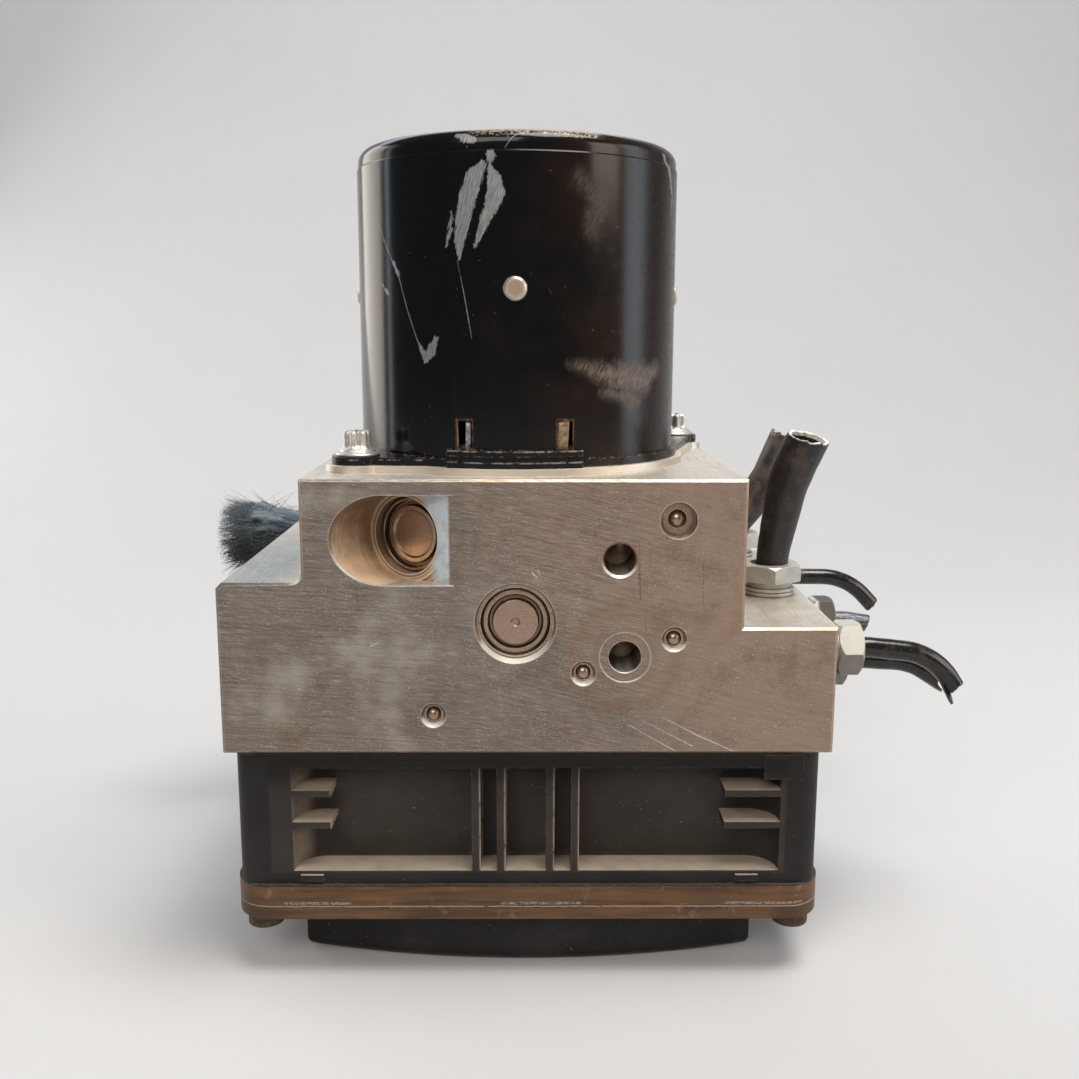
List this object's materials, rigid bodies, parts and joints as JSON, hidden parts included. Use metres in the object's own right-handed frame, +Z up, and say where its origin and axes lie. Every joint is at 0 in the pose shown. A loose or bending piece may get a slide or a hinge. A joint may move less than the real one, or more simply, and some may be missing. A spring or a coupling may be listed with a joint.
{
  "type": "abs brake module",
  "caption": "Anti-lock brake hydraulic unit: stepped aluminium valve block with a pump motor on top, a ribbed electronic unit below, and cut brake pipes and suction lines at one side.",
  "frame": {"origin": "centre of the flat floor of the electronic unit's lid, on which the module stands", "axes": "+Z up along the motor's axis, +Y from the machined front face to the rear, +X to the side with the brake pipes"},
  "size_m": [0.1961, 0.1156, 0.1843],
  "materials": {
    "block_metal": "milled, faintly brushed, lightly stained",
    "steel_plug": "turned and staked, stained brown",
    "valve_steel": "ground",
    "accumulator_metal": "turned",
    "spring_steel": "drawn wire",
    "coil_cover": "coil and yoke",
    "housing_plastic": "moulded, glass filled, dusty",
    "lid_plastic": "moulded, rim dusty brown",
    "contact_tin": "tinned",
    "board": "solder masked",
    "seal_rubber": "matte",
    "screw_steel": "zinc plated, weathered",
    "can_black": "gloss black, scratched",
    "magnet": "sintered",
    "insulator": "moulded",
    "core_steel": "stacked laminations",
    "copper": "bare copper",
    "carbon": "pressed carbon",
    "fitting_zinc": "zinc plated, dull",
    "line_black": "black coated, dirty",
    "line_bare": "worn bare",
    "plug_plastic": "moulded",
    "loom_fleece": "fleece tape, frayed"
  },
  "bodies": {
    "unit": {"hydraulic_block": "block_metal", "ball_plugs": "steel_plug", "damper_plugs": "steel_plug", "accumulator_caps": "steel_plug", "valve_bodies": "valve_steel", "solenoid_coils": "coil_cover", "ecu_housing": "housing_plastic", "plug_contacts": "contact_tin", "circuit_board": "board", "ecu_lid": "lid_plastic", "housing_seal": "seal_rubber", "ecu_screws": "screw_steel", "motor_can": "can_black", "motor_magnets": "magnet", "brush_plate": "insulator", "upper_bearing": "valve_steel", "lower_bearing": "valve_steel", "terminal_post": "insulator", "motor_bolts": "screw_steel", "suction_unions": "fitting_zinc", "union_washers": "fitting_zinc", "brake_nuts": "fitting_zinc", "harness_plug": "plug_plastic", "harness_loom": "loom_fleece", "suction_tube_front": "line_black", "suction_tube_rear": "line_black", "brake_pipe_a": "line_black", "brake_pipe_b": "line_black", "brake_pipe_c": "line_bare", "brake_pipe_d": "line_black", "pump_sleeve_front": "valve_steel", "pump_spring_front": "spring_steel", "pump_plug_front": "steel_plug", "pump_sleeve_rear": "valve_steel", "pump_spring_rear": "spring_steel", "pump_plug_rear": "steel_plug", "accumulator_spring_left": "spring_steel", "brush_spring_left": "spring_steel", "accumulator_spring_right": "spring_steel", "brush_spring_right": "spring_steel"},
    "rotor": {"motor_shaft": "valve_steel", "armature_core": "core_steel", "armature_winding": "copper", "commutator": "copper"},
    "eccentric_ring": {"eccentric_bearing": "valve_steel"},
    "pump_element_front": {"pump_piston_front": "valve_steel"},
    "pump_element_rear": {"pump_piston_rear": "valve_steel"},
    "accumulator_left": {"accumulator_piston_left": "accumulator_metal"},
    "brush_block_left": {"brush_left": "carbon"},
    "accumulator_right": {"accumulator_piston_right": "accumulator_metal"},
    "brush_block_right": {"brush_right": "carbon"},
    "inlet_valve_1": {"inlet_plunger_1": "valve_steel"},
    "inlet_valve_2": {"inlet_plunger_2": "valve_steel"},
    "inlet_valve_3": {"inlet_plunger_3": "valve_steel"},
    "inlet_valve_4": {"inlet_plunger_4": "valve_steel"},
    "outlet_valve_1": {"outlet_plunger_1": "valve_steel"},
    "outlet_valve_2": {"outlet_plunger_2": "valve_steel"},
    "outlet_valve_3": {"outlet_plunger_3": "valve_steel"},
    "outlet_valve_4": {"outlet_plunger_4": "valve_steel"}
  },
  "joints": [
    {"name": "rotor_spin", "type": "hinge", "parent": "unit", "child": "rotor", "pos_m": [-0.0027, 0, 0.09894], "axis": [0, 0, 1], "continuous": true},
    {"name": "eccentric_ring_spin", "type": "hinge", "parent": "rotor", "child": "eccentric_ring", "pos_m": [-0.0027, -0.0012, 0.09894], "axis": [0, 0, 1], "continuous": true},
    {"name": "pump_piston_front_slide", "type": "slide", "parent": "unit", "child": "pump_element_front", "axis": [-0.5284, -0.849, 0], "range_m": [0, 0.0024], "stiffness_N_per_m": 1500, "springref_m": -0.004, "deforming": ["pump_spring_front"]},
    {"name": "pump_piston_rear_slide", "type": "slide", "parent": "unit", "child": "pump_element_rear", "axis": [0.5284, 0.849, 0], "range_m": [0, 0.0024], "stiffness_N_per_m": 1500, "springref_m": -0.004, "deforming": ["pump_spring_rear"]},
    {"name": "accumulator_piston_left_slide", "type": "slide", "parent": "unit", "child": "accumulator_left", "axis": [0, 0, -1], "range_m": [0, 0.005], "stiffness_N_per_m": 800, "springref_m": -0.012, "deforming": ["accumulator_spring_left"]},
    {"name": "brush_left_slide", "type": "slide", "parent": "unit", "child": "brush_block_left", "axis": [-1, 0, 0], "range_m": [0, 0.002], "stiffness_N_per_m": 60, "springref_m": -0.01, "deforming": ["brush_spring_left"]},
    {"name": "accumulator_piston_right_slide", "type": "slide", "parent": "unit", "child": "accumulator_right", "axis": [0, 0, -1], "range_m": [0, 0.005], "stiffness_N_per_m": 800, "springref_m": -0.012, "deforming": ["accumulator_spring_right"]},
    {"name": "brush_right_slide", "type": "slide", "parent": "unit", "child": "brush_block_right", "axis": [1, 0, 0], "range_m": [0, 0.002], "stiffness_N_per_m": 60, "springref_m": -0.01, "deforming": ["brush_spring_right"]},
    {"name": "inlet_plunger_1_slide", "type": "slide", "parent": "unit", "child": "inlet_valve_1", "axis": [0, 0, 1], "range_m": [0, 0.0004], "stiffness_N_per_m": 2500, "springref_m": -0.001},
    {"name": "inlet_plunger_2_slide", "type": "slide", "parent": "unit", "child": "inlet_valve_2", "axis": [0, 0, 1], "range_m": [0, 0.0004], "stiffness_N_per_m": 2500, "springref_m": -0.001},
    {"name": "inlet_plunger_3_slide", "type": "slide", "parent": "unit", "child": "inlet_valve_3", "axis": [0, 0, 1], "range_m": [0, 0.0004], "stiffness_N_per_m": 2500, "springref_m": -0.001},
    {"name": "inlet_plunger_4_slide", "type": "slide", "parent": "unit", "child": "inlet_valve_4", "axis": [0, 0, 1], "range_m": [0, 0.0004], "stiffness_N_per_m": 2500, "springref_m": -0.001},
    {"name": "outlet_plunger_1_slide", "type": "slide", "parent": "unit", "child": "outlet_valve_1", "axis": [0, 0, -1], "range_m": [0, 0.0004], "stiffness_N_per_m": 2500, "springref_m": -0.001},
    {"name": "outlet_plunger_2_slide", "type": "slide", "parent": "unit", "child": "outlet_valve_2", "axis": [0, 0, -1], "range_m": [0, 0.0004], "stiffness_N_per_m": 2500, "springref_m": -0.001},
    {"name": "outlet_plunger_3_slide", "type": "slide", "parent": "unit", "child": "outlet_valve_3", "axis": [0, 0, -1], "range_m": [0, 0.0004], "stiffness_N_per_m": 2500, "springref_m": -0.001},
    {"name": "outlet_plunger_4_slide", "type": "slide", "parent": "unit", "child": "outlet_valve_4", "axis": [0, 0, -1], "range_m": [0, 0.0004], "stiffness_N_per_m": 2500, "springref_m": -0.001}
  ]
}
